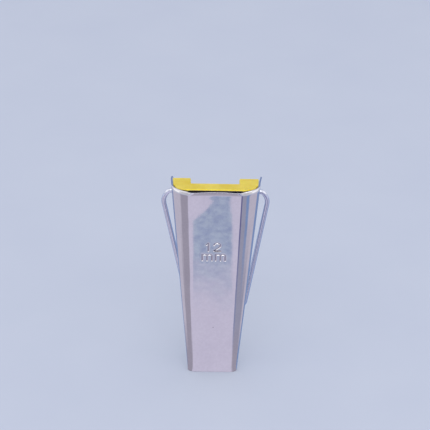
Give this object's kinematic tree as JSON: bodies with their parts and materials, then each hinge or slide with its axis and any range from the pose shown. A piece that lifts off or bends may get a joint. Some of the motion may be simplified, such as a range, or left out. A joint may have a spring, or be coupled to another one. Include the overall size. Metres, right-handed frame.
{
  "type": "bias tape maker",
  "caption": "Hand tool that folds a fabric strip into bias tape: tapered folded metal channel with a moulded guide in its wide mouth and a hinged wire pull handle.",
  "frame": {"origin": "centre in plan of the whole tool at rest, at the height of the narrow exit edge, which is the lowest point", "axes": "+Z from the narrow exit to the wide mouth, -Y is the outward side of the flat sole, +Y is the flap side where the handle hangs, +X to the right when the sole faces the viewer"},
  "size_m": [0.0316, 0.01, 0.0627],
  "materials": {
    "sheet": "satin bright nickel plate",
    "guide": "moulded, semi-gloss",
    "wire": "bright plated wire"
  },
  "bodies": {
    "former": {"folded_body": "sheet", "guide_insert": "guide"},
    "handle": {"wire_handle": "wire"}
  },
  "joints": [
    {"name": "handle_hinge", "type": "hinge", "parent": "former", "child": "handle", "pos_m": [0, 0.0003, 0.06025], "axis": [1, 0, 0], "range_deg": [-4, 344]}
  ]
}
